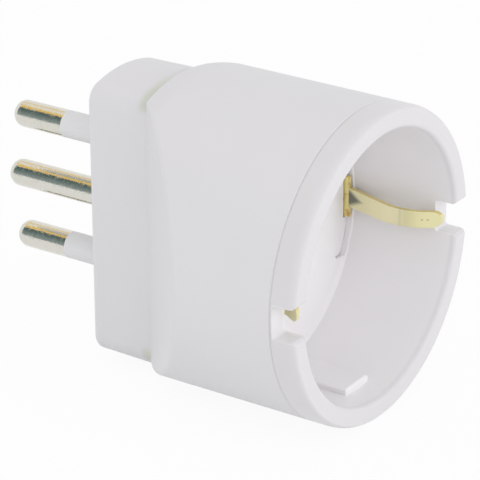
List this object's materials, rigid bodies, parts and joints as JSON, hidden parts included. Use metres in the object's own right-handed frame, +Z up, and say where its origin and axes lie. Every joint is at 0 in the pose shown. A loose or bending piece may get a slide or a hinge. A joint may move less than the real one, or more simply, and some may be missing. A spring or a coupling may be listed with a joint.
{
  "type": "earthed socket adapter",
  "caption": "Round white plastic mains adapter: a recessed earthed socket with side earth clips on the front, and an in-line round-pin plug on a block behind flared sides.",
  "frame": {"origin": "centre of the face that meets the wall, on the earth pin's axis", "axes": "+Y along the plug pins, towards the wall; the socket opens towards -Y; +Z up the row of pins"},
  "size_m": [0.0452, 0.0634, 0.0452],
  "materials": {
    "housing": "white moulded plastic, satin",
    "insert": "white moulded plastic, a little glossier",
    "sleeve": "white moulded sleeve",
    "pin": "nickel plated, polished",
    "contact": "bare stamped strip",
    "earth": "bare stamped strip, a little tarnished"
  },
  "bodies": {
    "root": {"rear_housing": "housing", "socket_insert": "insert", "line_pin": "pin", "neutral_pin": "pin", "earth_pin": "pin", "line_sleeve": "sleeve", "neutral_sleeve": "sleeve", "line_contact": "contact", "neutral_contact": "contact", "earth_strap": "earth"}
  },
  "joints": []
}
